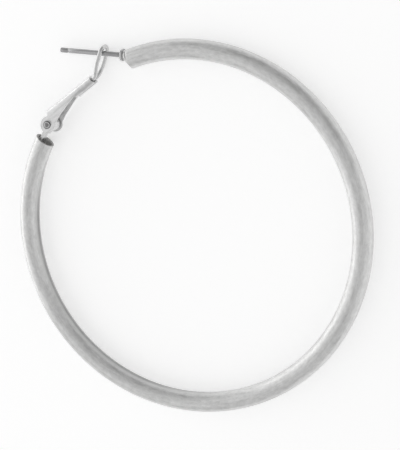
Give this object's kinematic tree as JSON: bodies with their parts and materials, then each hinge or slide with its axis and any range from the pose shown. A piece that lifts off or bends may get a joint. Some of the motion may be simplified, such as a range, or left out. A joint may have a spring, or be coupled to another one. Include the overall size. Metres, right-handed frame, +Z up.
{
  "type": "hoop earring",
  "caption": "Large round-tube hoop earring lying on its side, with a straight ear post and a hinged omega clip whose wire loop closes over the post.",
  "frame": {"origin": "on the surface that the earring lies on, under the hoop's centre and the middle of its box", "axes": "+Z up, along the hoop's axis and the clip's hinge; the ear post points along -X; +Y from the hoop's centre to the post's side"},
  "size_m": [0.065, 0.065, 0.0035],
  "materials": {
    "satin_tube": "satin, brushed lengthwise, white-metal plating over brass",
    "bright_metal": "bright white-metal plating over stamped brass, lightly worn",
    "post_steel": "drawn steel wire, bright"
  },
  "bodies": {
    "hoop": {"hoop_tube": "satin_tube", "ear_post": "post_steel", "hinge_lug": "bright_metal"},
    "clip": {"clip_lever": "bright_metal", "clip_loop": "bright_metal", "hinge_rivet": "bright_metal"}
  },
  "joints": [
    {"name": "clip_hinge", "type": "hinge", "parent": "hoop", "child": "clip", "pos_m": [-0.02688, 0.01567, 0.00175], "axis": [0, 0, 1], "range_deg": [0, 110]}
  ]
}
